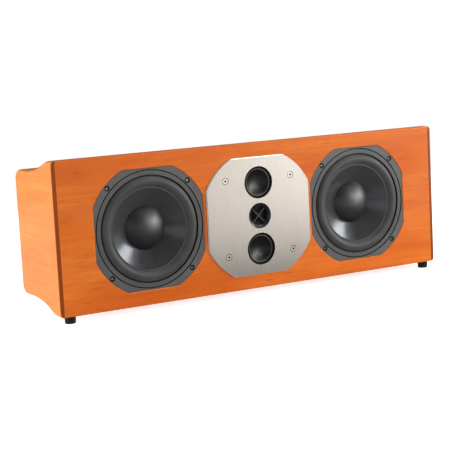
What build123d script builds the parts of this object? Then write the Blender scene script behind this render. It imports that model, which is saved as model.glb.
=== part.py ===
"""Center channel loudspeaker: a curved wooden cabinet with two woofers,
two inverted-dome midranges and one tweeter.

Millimetres. +Z is up, the front faces -Y, and the floor under the feet is z = 0.
Driver profiles are drawn as (radius, height), with height counted forward from
the front face of the baffle, so that what lies inside the cabinet is negative.
"""

import os
from math import atan, sqrt, tan

from build123d import *

os.makedirs("parts", exist_ok=True)

# Cabinet
cabinet_width = 797.0
cabinet_depth = 171.0
front_height = 266.0
rear_height = 223.4
shoulder_depth = 26.6
waist_depth = 85.1
shoulder_radius = 60.0
waist_radius = 240.0
rear_corner_radius = 18.0
baffle_thickness = 22.0
side_thickness = 18.0
shell_thickness = 20.0
back_thickness = 18.0
edge_strip = 7.5
long_edge_radius = 7.0
arris_radius = 2.0
brace_thickness = 15.0
brace_gap = 4.0
cable_hole_radius = 6.0

# Feet and wood screws
foot_height = 12.0
foot_radius = 10.0
foot_taper = 0.75
foot_round = 2.0
front_foot_inset = 21.0
front_foot_depth = 10.5
rear_foot_inset = 73.5
rear_foot_depth = 138.0
screw_seat = 7.0
screw_grip = 14.0
screw_radius = 2.0
screw_head_radius = 3.8
screw_head_height = 2.4
screw_recess_clearance = 0.7
pilot_clearance = 0.05

# Woofers
trim_outer_radius = 102.5
trim_width = 7.9
trim_gap = 1.8
trim_sink = 3.6
flat_margin = 3.5
flange_margin = 14.0
flange_thickness = 6.0
flange_sink = 1.2
flange_clearance = 0.5
recess_edge = 0.9
flange_screw_margin = 6.2
driver_gap = 6.8
basket_clearance = 1.0
skirt_step = 5.5
skirt_wall = 6.0
skirt_depth = 14.0
roll_inset = 2.0
roll_width = 18.1
roll_height = 6.0
surround_thickness = 0.8
lip_width = 3.2
cone_thickness = 0.9
cap_radius = 39.0
cap_depth = 23.0
cap_height = 16.0
cap_thickness = 1.0
former_radius = 25.0
former_wall = 0.35
former_reach = 1.2
winding_thickness = 0.65
winding_height = 20.0
coil_gap = 0.7
woofer_travel = 5.0
spider_depth = 45.0
spider_step = 27.0
spider_thickness = 0.6
spider_wave = 1.4
spider_waves = 8
spider_clearance = 0.25
spider_flat = 4.0
landing_width = 8.0
landing_clearance = 1.0
motor_depth = 58.0
basket_floor = 4.0
top_plate_thickness = 8.0
top_plate_radius = 56.0
magnet_thickness = 20.0
magnet_radius = 60.0
magnet_bore_radius = 32.0
yoke_thickness = 8.0
vent_radius = 9.0
magnet_edge = 2.0
trim_edge = 0.5
window_count = 6
window_width = 56.0
window_corner = 5.0
window_margin = 3.0
terminal_block_width = 26.0
terminal_block_reach = 12.0

# Socket screws of the woofer flanges
socket_head_radius = 4.2
socket_head_height = 3.6
counterbore_clearance = 0.9
socket_shank_radius = 2.5
shank_clearance = 0.2
socket_shank_length = 16.0
socket_hex_radius = 2.3
socket_hex_depth = 2.2

# Face plate
plate_flats = 215.0
plate_radius = 120.5
plate_thickness = 5.0
plate_proud = 3.5
plate_clearance = 0.4
plate_edge = 0.8
plate_screw_offset = 68.6
plate_screw_radius = 2.8
plate_screw_head_radius = 5.4
plate_screw_length = 18.0
plate_screw_sink = 0.4
plate_screw_ring = 1.2
plate_screw_ring_depth = 0.5
plate_hex_radius = 2.2
slot_clearance = 2.5

# Midranges
mid_spacing = 60.7
mid_opening_radius = 29.6
mid_frame_radius = 34.5
mid_nose_clearance = 0.3
mid_nose_wall = 0.9
mid_nose_sink = 0.9
mid_ledge = 1.0
mid_seat = 0.0
mid_frame_depth = 9.0
mid_surround_thickness = 0.5
mid_roll_height = 1.3
mid_lip = 0.7
mid_dome_rim_outer = 25.6
mid_dome_rim_inner = 23.4
mid_dome_bead = 0.7
mid_dome_depth = 8.0
mid_dome_thickness = 0.5
mid_coil_radius = 16.0
mid_coil_wall = 0.5
mid_coil_depth = 18.0
mid_coil_gap = 0.8
mid_yoke_radius = 30.0
mid_yoke_depth = 30.0
mid_yoke_floor = 4.0
mid_magnet_radius = 14.2
mid_tip_depth = 11.0
mid_tip_thickness = 4.0

# Tweeter
tweeter_opening_radius = 23.7
tweeter_frame_radius = 25.7
tweeter_nose_clearance = 0.3
tweeter_nose_sink = 0.5
tweeter_rim = 0.9
throat_radius = 17.8
throat_depth = 0.2
flare_bulge = 0.5
tweeter_seat_depth = 8.0
tweeter_bore_radius = 16.2
tweeter_frame_depth = 11.0
tweeter_surround_thickness = 0.4
tweeter_roll_outer = 15.4
tweeter_roll_height = 1.1
tweeter_dome_radius = 12.9
tweeter_dome_lip = 0.9
tweeter_dome_height = 4.2
tweeter_dome_thickness = 0.4
tweeter_coil_length = 7.5
tweeter_coil_gap = 0.7
tweeter_yoke_radius = 21.5
tweeter_yoke_depth = 30.0
tweeter_yoke_floor = 4.0
tweeter_magnet_radius = 10.8
tweeter_tip_depth = 10.0
tweeter_tip_thickness = 4.0
guard_clearance = 0.2
guard_rim = 1.4
guard_front_depth = 1.6
guard_thickness = 1.2
guard_arm_width = 2.0
guard_hub_radius = 2.6
guard_ring_height = 1.2

# Terminals
terminal_drop = 45.0
terminal_width = 90.0
terminal_height = 60.0
terminal_thickness = 3.0
terminal_corner = 6.0
terminal_window_width = 50.0
terminal_window_height = 30.0
terminal_screw_margin = 8.0
post_spacing = 19.0
post_base_radius = 7.6
post_base_height = 2.0
post_radius = 4.0
post_length = 24.0
post_tail_radius = 2.6
post_tail_length = 20.0
post_hole_clearance = 0.15
socket_radius = 2.05
socket_depth = 15.0
wire_hole_radius = 1.2
nut_radius = 5.6
nut_height = 4.0
washer_radius = 7.2
washer_height = 2.0
knob_radius = 8.0
knob_length = 18.0
knob_clearance = 0.45
knob_flutes = 16
flute_radius = 1.1

# Crossover and wiring
board_width = 140.0
board_height = 80.0
board_thickness = 6.0
board_lift = 35.0
coil_outer_radius = 16.0
coil_inner_radius = 7.0
coil_height = 15.0
coil_places = ((-48.0, 52.0), (-10.0, 54.0), (52.0, 52.0))
capacitor_radius = 8.0
capacitor_height = 30.0
capacitor_places = ((-48.0, 21.0), (-27.0, 21.0), (14.0, 31.0), (48.0, 24.0))
cable_radius = 1.8
cable_bend = 8.0
woofer_cable_x = 50.0
woofer_cable_z = 8.0

# Values that follow from the ones above
rear_foot_height = foot_height + (front_height - rear_height) / 2
back_reach = terminal_thickness + post_base_height + post_length
front_y = plate_proud - (plate_proud + cabinet_depth + back_reach) / 2
axis_z = foot_height + front_height / 2
half_front = front_height / 2
half_rear = rear_height / 2
slope = atan((half_front - half_rear) / (waist_depth - shoulder_depth))
inner_width = cabinet_width - 2 * side_thickness
baffle_width = cabinet_width - 2 * edge_strip
trim_inner_radius = trim_outer_radius - trim_width
roll_outer_radius = trim_inner_radius - roll_inset
roll_inner_radius = roll_outer_radius - roll_width
flange_flats = 2 * (trim_outer_radius + flat_margin)
flange_radius = trim_outer_radius + flange_margin
flange_screw_offset = (flange_radius - flange_screw_margin) / sqrt(2)
skirt_radius = trim_outer_radius - skirt_step
spider_outer_radius = skirt_radius - spider_step
woofer_offset = (plate_flats + flange_flats) / 2 + driver_gap
basket_hole_radius = skirt_radius + basket_clearance
brace_offset = woofer_offset - basket_hole_radius - brace_gap - brace_thickness / 2
pilot_radius = screw_radius + pilot_clearance
recess_radius = screw_head_radius + screw_recess_clearance
terminal_z = axis_z - terminal_drop
terminal_screw_x = terminal_width / 2 - terminal_screw_margin
terminal_screw_z = terminal_height / 2 - terminal_screw_margin


def profile_plane(x):
    """Plane across the cabinet: (depth behind the baffle front, height over the axis)."""
    return Plane((x, front_y, axis_z), x_dir=(0, 1, 0), z_dir=(1, 0, 0))


def front_plane(x, z, height):
    """Plane that faces forward, at a height over the baffle front."""
    return Plane((x, front_y - height, axis_z + z), x_dir=(1, 0, 0), z_dir=(0, -1, 0))


def section_plane(x, z):
    """Half section of a round piece: (radius, height over the baffle front)."""
    return Plane((x, front_y, axis_z + z), x_dir=(1, 0, 0), z_dir=(0, 0, -1))


def driver_axis(x, z):
    return Axis((x, front_y, axis_z + z), (0, -1, 0))


def foot_plane(x, y):
    """Half section of a foot or its screw: (radius, height over the floor)."""
    return Plane((x, y, 0), x_dir=(1, 0, 0), z_dir=(0, -1, 0))


def rear_plane(x, z, depth):
    """Plane that faces backward, at a depth behind the baffle front."""
    return Plane((x, front_y + depth, z), x_dir=(-1, 0, 0), z_dir=(0, 1, 0))


def save(piece, name):
    piece.part.label = name
    export_step(piece.part, f"parts/{name}.step")


def turned(points, plane, axis):
    """Solid of revolution from a closed outline of straight lines."""
    with BuildPart() as piece:
        with BuildSketch(plane):
            with BuildLine():
                Polyline(*points, close=True)
            make_face()
        revolve(axis=axis)
    return piece


def curve_points(inset):
    """Shoulder and waist corners of the top curve, moved inward by the inset."""
    shift = inset * tan(slope / 2)
    shoulder = (shoulder_depth - shift, half_front - inset)
    waist = (waist_depth - shift, half_rear - inset)
    return shoulder, waist


def cabinet_outline(inset, depth, corner_radius):
    """Closed outline of the cabinet seen from the side."""
    shoulder, waist = curve_points(inset)
    upper = [(0, half_front - inset), shoulder, waist, (depth, half_rear - inset)]
    lower = [(y, -z) for y, z in reversed(upper)]
    radii = [0, shoulder_radius - inset, waist_radius + inset, corner_radius]
    FilletPolyline(*upper, *lower, radius=radii + radii[::-1], close=True)


def foot_places():
    front_x = cabinet_width / 2 - front_foot_inset
    rear_x = cabinet_width / 2 - rear_foot_inset
    front = front_y + front_foot_depth
    rear = front_y + rear_foot_depth
    return {
        "front_left_foot": (-front_x, front, foot_height),
        "front_right_foot": (front_x, front, foot_height),
        "rear_left_foot": (-rear_x, rear, rear_foot_height),
        "rear_right_foot": (rear_x, rear, rear_foot_height),
    }


def truncated_circle(radius, flats):
    Circle(radius)
    Rectangle(flats, flats, mode=Mode.INTERSECT)


# Cabinet panels

with BuildPart() as front_baffle:
    with BuildSketch(profile_plane(-baffle_width / 2)):
        with BuildLine():
            cabinet_outline(0, cabinet_depth, rear_corner_radius)
        make_face()
    extrude(amount=baffle_width)
    split(bisect_by=Plane((0, front_y + baffle_thickness, 0), z_dir=(0, -1, 0)), keep=Keep.TOP)
    fillet(front_baffle.faces().sort_by(Axis.Y)[0].edges().filter_by(Axis.X), arris_radius)
    for side in (-1, 1):
        with BuildSketch(front_plane(side * woofer_offset, 0, 0)):
            truncated_circle(flange_radius + flange_clearance, flange_flats + 2 * flange_clearance)
        extrude(amount=-(flange_thickness + flange_sink), mode=Mode.SUBTRACT)
        with BuildSketch(front_plane(side * woofer_offset, 0, 0)):
            Circle(basket_hole_radius)
        extrude(amount=-baffle_thickness, mode=Mode.SUBTRACT)
        with BuildSketch(front_plane(side * woofer_offset, 0, 0)):
            with GridLocations(2 * flange_screw_offset, 2 * flange_screw_offset, 2, 2):
                Circle(socket_shank_radius + pilot_clearance)
        extrude(amount=-(flange_sink + socket_head_height + socket_shank_length), mode=Mode.SUBTRACT)
    recesses = front_baffle.faces().sort_by(Axis.Y)[0].inner_wires()
    chamfer(recesses.edges(), recess_edge)
    with BuildSketch(front_plane(0, 0, 0)):
        truncated_circle(plate_radius + plate_clearance, plate_flats + 2 * plate_clearance)
    extrude(amount=-(plate_thickness - plate_proud), mode=Mode.SUBTRACT)
    with BuildSketch(front_plane(0, 0, 0)):
        SlotCenterToCenter(2 * mid_spacing, 2 * (mid_frame_radius + slot_clearance), rotation=90)
    extrude(amount=-baffle_thickness, mode=Mode.SUBTRACT)
    with BuildSketch(front_plane(0, 0, 0)):
        with GridLocations(2 * plate_screw_offset, 2 * plate_screw_offset, 2, 2):
            Circle(plate_screw_radius + pilot_clearance)
    extrude(amount=-(plate_screw_length - plate_proud + plate_screw_sink), mode=Mode.SUBTRACT)
    for x, y, height in list(foot_places().values())[:2]:
        with BuildSketch(Plane((x, y, height), z_dir=(0, 0, 1))):
            Circle(pilot_radius)
        extrude(amount=screw_grip, mode=Mode.SUBTRACT)
save(front_baffle, "front_baffle")


def side_panel(side):
    """Outer panel with rounded long edges, rebated for the baffle."""
    inner_x = side * (cabinet_width / 2 - side_thickness)
    with BuildPart() as panel:
        with BuildSketch(profile_plane(inner_x)):
            with BuildLine():
                cabinet_outline(0, cabinet_depth, rear_corner_radius)
            make_face()
        extrude(amount=side * side_thickness)
        outer_edges = panel.faces().sort_by(Axis.X)[-1 if side > 0 else 0].edges()
        fillet(outer_edges.sort_by(Axis.Y)[1:], long_edge_radius)
        front_edges = panel.faces().sort_by(Axis.Y)[0].edges().sort_by(Axis.X, reverse=side < 0)
        fillet(front_edges[1:], arris_radius)
        rebate = side_thickness - edge_strip
        with BuildSketch(front_plane(inner_x + side * rebate / 2, 0, 0)):
            Rectangle(rebate, front_height)
        extrude(amount=-baffle_thickness, mode=Mode.SUBTRACT)
    return panel


save(side_panel(-1), "left_side_panel")
save(side_panel(1), "right_side_panel")


def curved_panel(sign):
    """Top (sign 1) or bottom (sign -1) panel, bent to the cabinet's curve."""
    outer_shoulder, outer_waist = curve_points(0)
    inner_shoulder, inner_waist = curve_points(shell_thickness)
    corners = [
        ((0, half_front), 0),
        (outer_shoulder, shoulder_radius),
        (outer_waist, waist_radius),
        ((cabinet_depth, half_rear), rear_corner_radius),
        ((cabinet_depth, half_rear - shell_thickness), 0),
        (inner_waist, waist_radius + shell_thickness),
        (inner_shoulder, shoulder_radius - shell_thickness),
        ((0, half_front - shell_thickness), 0),
    ]
    with BuildPart() as panel:
        with BuildSketch(profile_plane(-inner_width / 2)):
            with BuildLine():
                points = [(y, sign * z) for (y, z), _ in corners]
                FilletPolyline(*points, radius=[radius for _, radius in corners], close=True)
            make_face()
        extrude(amount=inner_width)
        split(bisect_by=Plane((0, front_y + baffle_thickness, 0), z_dir=(0, 1, 0)), keep=Keep.TOP)
        if sign < 0:
            for x, y, height in list(foot_places().values())[2:]:
                with BuildSketch(Plane((x, y, height), z_dir=(0, 0, 1))):
                    Circle(pilot_radius)
                extrude(amount=screw_grip, mode=Mode.SUBTRACT)
    return panel


save(curved_panel(1), "top_panel")
save(curved_panel(-1), "bottom_panel")

with BuildPart() as back_panel:
    with BuildSketch(rear_plane(0, axis_z, cabinet_depth - back_thickness)):
        Rectangle(inner_width, rear_height - 2 * shell_thickness)
    extrude(amount=back_thickness)
    with BuildSketch(rear_plane(0, terminal_z, cabinet_depth)):
        RectangleRounded(terminal_window_width, terminal_window_height, terminal_corner)
    extrude(amount=-back_thickness, mode=Mode.SUBTRACT)
    with BuildSketch(rear_plane(0, terminal_z, cabinet_depth)):
        with GridLocations(2 * terminal_screw_x, 2 * terminal_screw_z, 2, 2):
            Circle(pilot_radius)
    extrude(amount=-screw_grip, mode=Mode.SUBTRACT)
save(back_panel, "back_panel")


def brace(side):
    """Wall between a woofer's chamber and the middle one."""
    x = side * brace_offset
    with BuildPart() as wall:
        with BuildSketch(profile_plane(x - brace_thickness / 2)):
            with BuildLine():
                cabinet_outline(shell_thickness, cabinet_depth - back_thickness, 0)
            make_face()
        extrude(amount=brace_thickness)
        split(bisect_by=Plane((0, front_y + baffle_thickness, 0), z_dir=(0, 1, 0)), keep=Keep.TOP)
        with BuildSketch(profile_plane(x - brace_thickness / 2)):
            with Locations((motor_depth - basket_floor, woofer_cable_z)):
                Circle(cable_hole_radius)
        extrude(amount=brace_thickness, mode=Mode.SUBTRACT)
    return wall


save(brace(-1), "left_brace")
save(brace(1), "right_brace")

# Feet and wood screws

for foot_name, (foot_x, foot_y, height) in foot_places().items():
    with BuildPart() as foot:
        with BuildSketch(foot_plane(foot_x, foot_y)):
            with BuildLine():
                FilletPolyline(
                    (screw_radius + pilot_clearance, height - screw_seat),
                    (recess_radius, height - screw_seat),
                    (recess_radius, 0),
                    (foot_radius - foot_taper, 0),
                    (foot_radius, height),
                    (screw_radius + pilot_clearance, height),
                    radius=[0, 0, 0, foot_round, 0, 0],
                    close=True,
                )
            make_face()
        revolve(axis=Axis((foot_x, foot_y, 0), (0, 0, 1)))
    save(foot, foot_name)

with BuildPart() as wood_screws:
    for x, y, height in foot_places().values():
        seat = height - screw_seat
        with BuildSketch(foot_plane(x, y)):
            with BuildLine():
                Polyline(
                    (0, seat - screw_head_height),
                    (screw_head_radius, seat - screw_head_height),
                    (screw_head_radius, seat),
                    (screw_radius, seat),
                    (screw_radius, height + screw_grip - screw_radius),
                    (0, height + screw_grip),
                    close=True,
                )
            make_face()
        revolve(axis=Axis((x, y, 0), (0, 0, 1)))
    for x in (-terminal_screw_x, terminal_screw_x):
        for z in (-terminal_screw_z, terminal_screw_z):
            head = cabinet_depth + terminal_thickness
            with BuildSketch(section_plane(x, z - terminal_drop)):
                with BuildLine():
                    Polyline(
                        (0, -head - screw_head_height),
                        (screw_head_radius, -head - screw_head_height),
                        (screw_head_radius, -head),
                        (screw_radius, -head),
                        (screw_radius, -cabinet_depth + screw_grip - 2 * screw_radius),
                        (0, -cabinet_depth + screw_grip - screw_radius),
                        close=True,
                    )
                make_face()
            revolve(axis=driver_axis(x, z - terminal_drop))
save(wood_screws, "wood_screws")

# Woofers

seat_height = -flange_sink - trim_sink
lip_top = seat_height + surround_thickness
trim_front = -flange_sink
lip_inner_radius = roll_inner_radius - lip_width
cone_slope = (cap_depth + seat_height) / (lip_inner_radius - cap_radius)
former_outer = former_radius + former_wall
winding_outer = former_outer + winding_thickness
coil_centre = -motor_depth - top_plate_thickness / 2
former_end = coil_centre - winding_height / 2 - woofer_travel
magnet_top = -motor_depth - top_plate_thickness
yoke_top = magnet_top - magnet_thickness
landing_inner = spider_outer_radius - landing_width
landing_outer = spider_outer_radius + landing_clearance
bowl_radius = skirt_radius - skirt_wall
cup_radius = landing_outer + skirt_wall
coil_hole_radius = winding_outer + 2 * coil_gap


def sphere_radius(base, height):
    """Radius of the sphere that a cap of this base radius and height is part of."""
    return (base**2 + height**2) / (2 * height)


def cone_front(radius):
    """Height of the cone's front face at a radius."""
    return seat_height - cone_slope * (lip_inner_radius - radius)


def woofer(side, name):
    x = side * woofer_offset
    plane = section_plane(x, 0)
    axis = driver_axis(x, 0)

    with BuildPart() as basket:
        with BuildSketch(front_plane(x, 0, -flange_sink)):
            truncated_circle(flange_radius, flange_flats)
        extrude(amount=-flange_thickness)
        with BuildSketch(front_plane(x, 0, -flange_sink)):
            Circle(trim_outer_radius + trim_gap)
        extrude(amount=-trim_sink, mode=Mode.SUBTRACT)
        with BuildSketch(front_plane(x, 0, -flange_sink)):
            Circle(bowl_radius)
        extrude(amount=-flange_thickness, mode=Mode.SUBTRACT)
        with BuildSketch(plane):
            with BuildLine():
                Polyline(
                    (bowl_radius, seat_height),
                    (bowl_radius, -skirt_depth),
                    (landing_outer, -spider_depth + window_margin),
                    (landing_outer, -spider_depth),
                    (landing_inner, -spider_depth),
                    (landing_inner, -motor_depth + basket_floor),
                    (coil_hole_radius, -motor_depth + basket_floor),
                    (coil_hole_radius, -motor_depth),
                    (cup_radius, -motor_depth),
                    (cup_radius, -spider_depth),
                    (skirt_radius, -skirt_depth),
                    (skirt_radius, seat_height),
                    close=True,
                )
            make_face()
        revolve(axis=axis)
        with BuildSketch(front_plane(x, 0, -skirt_depth - window_margin)):
            with PolarLocations((landing_outer + skirt_radius) / 2, window_count, 180 / window_count):
                RectangleRounded(
                    skirt_radius - landing_outer + 2 * window_corner, window_width, window_corner
                )
        extrude(amount=-(spider_depth - skirt_depth - 2 * window_margin), mode=Mode.SUBTRACT)
        block_x = x - side * (cup_radius + terminal_block_reach / 2)
        with BuildSketch(front_plane(block_x, 0, -motor_depth)):
            Rectangle(terminal_block_reach + 2 * skirt_wall, terminal_block_width)
        extrude(amount=2 * basket_floor)
        with BuildSketch(front_plane(x, 0, -motor_depth)):
            Circle(landing_inner)
        extrude(amount=motor_depth - spider_depth, mode=Mode.SUBTRACT)
        with BuildSketch(front_plane(x, 0, -motor_depth)):
            Circle(landing_inner)
            Circle(coil_hole_radius, mode=Mode.SUBTRACT)
        extrude(amount=basket_floor)
        with BuildSketch(front_plane(x, 0, -flange_sink)):
            with GridLocations(2 * flange_screw_offset, 2 * flange_screw_offset, 2, 2):
                Circle(socket_head_radius + counterbore_clearance)
        extrude(amount=-socket_head_height, mode=Mode.SUBTRACT)
        with BuildSketch(front_plane(x, 0, -flange_sink)):
            with GridLocations(2 * flange_screw_offset, 2 * flange_screw_offset, 2, 2):
                Circle(socket_shank_radius + shank_clearance)
        extrude(amount=-flange_thickness, mode=Mode.SUBTRACT)
    save(basket, f"{name}_basket")

    with BuildPart() as trim_ring:
        with BuildSketch(front_plane(x, 0, lip_top)):
            Circle(trim_outer_radius)
            Circle(trim_inner_radius, mode=Mode.SUBTRACT)
        extrude(amount=trim_front - lip_top)
        chamfer(trim_ring.faces().sort_by(Axis.Y)[0].edges(), trim_edge)
    save(trim_ring, f"{name}_trim_ring")

    roll_middle = (roll_outer_radius + roll_inner_radius) / 2
    crest = lip_top + roll_height
    with BuildPart() as surround:
        with BuildSketch(plane):
            with BuildLine():
                outer_lip = Line((trim_outer_radius, lip_top), (roll_outer_radius, lip_top))
                roll = ThreePointArc(outer_lip @ 1, (roll_middle, crest), (roll_inner_radius, lip_top))
                Polyline(
                    roll @ 1,
                    (lip_inner_radius, lip_top),
                    (lip_inner_radius, seat_height),
                    (roll_inner_radius + surround_thickness, seat_height),
                )
                under = ThreePointArc(
                    (roll_inner_radius + surround_thickness, seat_height),
                    (roll_middle, crest - surround_thickness),
                    (roll_outer_radius - surround_thickness, seat_height),
                )
                Polyline(under @ 1, (trim_outer_radius, seat_height), outer_lip @ 0)
            make_face()
        revolve(axis=axis)
    save(surround, f"{name}_surround")

    rim = roll_inner_radius + surround_thickness
    cone = turned(
        (
            (rim, seat_height),
            (lip_inner_radius, seat_height),
            (former_outer, cone_front(former_outer)),
            (former_outer, cone_front(former_outer) - cone_thickness),
            (lip_inner_radius, seat_height - cone_thickness),
            (rim, seat_height - cone_thickness),
        ),
        plane,
        axis,
    )
    save(cone, f"{name}_cone")

    apex = -cap_depth + cap_height
    cap_inner = cap_radius - cap_thickness
    with BuildPart() as dust_cap:
        with BuildSketch(plane):
            with BuildLine():
                dome = RadiusArc((0, apex), (cap_radius, -cap_depth), sphere_radius(cap_radius, cap_height))
                hem = Line(dome @ 1, (cap_inner, cone_front(cap_inner)))
                inner_height = apex - cap_thickness - cone_front(cap_inner)
                inside = RadiusArc(
                    hem @ 1, (0, apex - cap_thickness), -sphere_radius(cap_inner, inner_height)
                )
                Line(inside @ 1, dome @ 0)
            make_face()
        revolve(axis=axis)
    save(dust_cap, f"{name}_dust_cap")

    coil_top = coil_centre + winding_height / 2
    coil_bottom = coil_centre - winding_height / 2
    voice_coil = turned(
        (
            (former_radius, cone_front(former_outer) + former_reach),
            (former_outer, cone_front(former_outer) + former_reach),
            (former_outer, coil_top),
            (winding_outer, coil_top),
            (winding_outer, coil_bottom),
            (former_outer, coil_bottom),
            (former_outer, former_end),
            (former_radius, former_end),
        ),
        plane,
        axis,
    )
    save(voice_coil, f"{name}_voice_coil")

    hub = former_outer + spider_clearance
    wave_start = hub + spider_flat
    wave = (landing_inner - wave_start) / spider_waves
    with BuildPart() as spider:
        with BuildSketch(plane):
            with BuildLine():
                for level in (-spider_depth, -spider_depth + spider_thickness):
                    Line((hub, level), (wave_start, level))
                    for count in range(spider_waves):
                        start = wave_start + count * wave
                        rise = spider_wave if count % 2 else -spider_wave
                        ThreePointArc(
                            (start, level), (start + wave / 2, level + rise), (start + wave, level)
                        )
                    Line((landing_inner, level), (spider_outer_radius, level))
                for radius in (hub, spider_outer_radius):
                    Line((radius, -spider_depth), (radius, -spider_depth + spider_thickness))
            make_face()
        revolve(axis=axis)
    save(spider, f"{name}_spider")

    with BuildPart() as top_plate:
        with BuildSketch(front_plane(x, 0, magnet_top)):
            Circle(top_plate_radius)
            Circle(winding_outer + coil_gap, mode=Mode.SUBTRACT)
        extrude(amount=top_plate_thickness)
    save(top_plate, f"{name}_top_plate")

    with BuildPart() as magnet:
        with BuildSketch(front_plane(x, 0, yoke_top)):
            Circle(magnet_radius)
            Circle(magnet_bore_radius, mode=Mode.SUBTRACT)
        extrude(amount=magnet_thickness)
        chamfer(magnet.edges().group_by(SortBy.LENGTH)[-1], magnet_edge)
    save(magnet, f"{name}_magnet")

    yoke = turned(
        (
            (vent_radius, -motor_depth),
            (former_radius - coil_gap, -motor_depth),
            (former_radius - coil_gap, yoke_top),
            (top_plate_radius, yoke_top),
            (top_plate_radius, yoke_top - yoke_thickness / 2),
            (top_plate_radius - yoke_thickness / 2, yoke_top - yoke_thickness),
            (vent_radius, yoke_top - yoke_thickness),
        ),
        plane,
        axis,
    )
    save(yoke, f"{name}_yoke")


woofer(-1, "left_woofer")
woofer(1, "right_woofer")


def socket_screw_places():
    offset = flange_screw_offset
    return [
        (side * woofer_offset + dx, dz)
        for side in (-1, 1)
        for dx in (-offset, offset)
        for dz in (-offset, offset)
    ]


with BuildPart() as woofer_screws:
    for x, z in socket_screw_places():
        with BuildSketch(front_plane(x, z, -flange_sink)):
            Circle(socket_head_radius)
            RegularPolygon(socket_hex_radius, 6, mode=Mode.SUBTRACT)
        extrude(amount=-socket_hex_depth)
        with BuildSketch(front_plane(x, z, -flange_sink - socket_hex_depth)):
            Circle(socket_head_radius)
        extrude(amount=socket_hex_depth - socket_head_height)
        with BuildSketch(front_plane(x, z, -flange_sink - socket_head_height)):
            Circle(socket_shank_radius)
        extrude(amount=-socket_shank_length)
save(woofer_screws, "woofer_screws")

# Face plate and its screws

plate_back = plate_proud - plate_thickness
head_front = plate_proud - plate_screw_sink

with BuildPart() as face_plate:
    with BuildSketch(front_plane(0, 0, plate_back)):
        truncated_circle(plate_radius, plate_flats)
        with Locations((0, mid_spacing), (0, -mid_spacing)):
            Circle(mid_opening_radius, mode=Mode.SUBTRACT)
        Circle(tweeter_opening_radius, mode=Mode.SUBTRACT)
    extrude(amount=plate_thickness)
    chamfer(face_plate.faces().sort_by(Axis.Y)[0].outer_wire().edges(), plate_edge)
    with Locations(front_plane(0, 0, plate_proud)):
        with GridLocations(2 * plate_screw_offset, 2 * plate_screw_offset, 2, 2):
            CounterSinkHole(
                plate_screw_radius + shank_clearance,
                plate_screw_head_radius + plate_screw_sink + shank_clearance,
                depth=plate_thickness,
                counter_sink_angle=90,
            )
    with BuildSketch(front_plane(0, 0, plate_proud)):
        with GridLocations(2 * plate_screw_offset, 2 * plate_screw_offset, 2, 2):
            Circle(plate_screw_head_radius + plate_screw_ring)
    extrude(amount=-(plate_screw_sink + plate_screw_ring_depth), mode=Mode.SUBTRACT)
save(face_plate, "face_plate")

with BuildPart() as face_plate_screws:
    for x in (-plate_screw_offset, plate_screw_offset):
        for z in (-plate_screw_offset, plate_screw_offset):
            neck = head_front - (plate_screw_head_radius - plate_screw_radius)
            with BuildSketch(section_plane(x, z)):
                with BuildLine():
                    Polyline(
                        (0, head_front),
                        (plate_screw_head_radius, head_front),
                        (plate_screw_radius, neck),
                        (plate_screw_radius, plate_proud - plate_screw_length),
                        (0, plate_proud - plate_screw_length),
                        close=True,
                    )
                make_face()
            revolve(axis=driver_axis(x, z))
            with BuildSketch(front_plane(x, z, head_front)):
                RegularPolygon(plate_hex_radius, 6)
            extrude(amount=-socket_hex_depth, mode=Mode.SUBTRACT)
save(face_plate_screws, "face_plate_screws")

# Midranges

mid_nose_outer = mid_opening_radius - mid_nose_clearance
mid_nose_inner = mid_nose_outer - mid_nose_wall
mid_bore = mid_nose_inner - mid_ledge
mid_lip_top = mid_seat + mid_surround_thickness
mid_roll_outer = mid_nose_inner - mid_lip
mid_roll_inner = mid_dome_rim_outer - mid_lip / 2
mid_yoke_front = -mid_frame_depth
mid_yoke_bore = mid_coil_radius + mid_coil_wall + mid_coil_gap
mid_tip_radius = mid_coil_radius - mid_coil_gap
mid_tip_back = -mid_tip_depth - mid_tip_thickness
mid_cup_floor = -mid_yoke_depth + mid_yoke_floor


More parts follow.
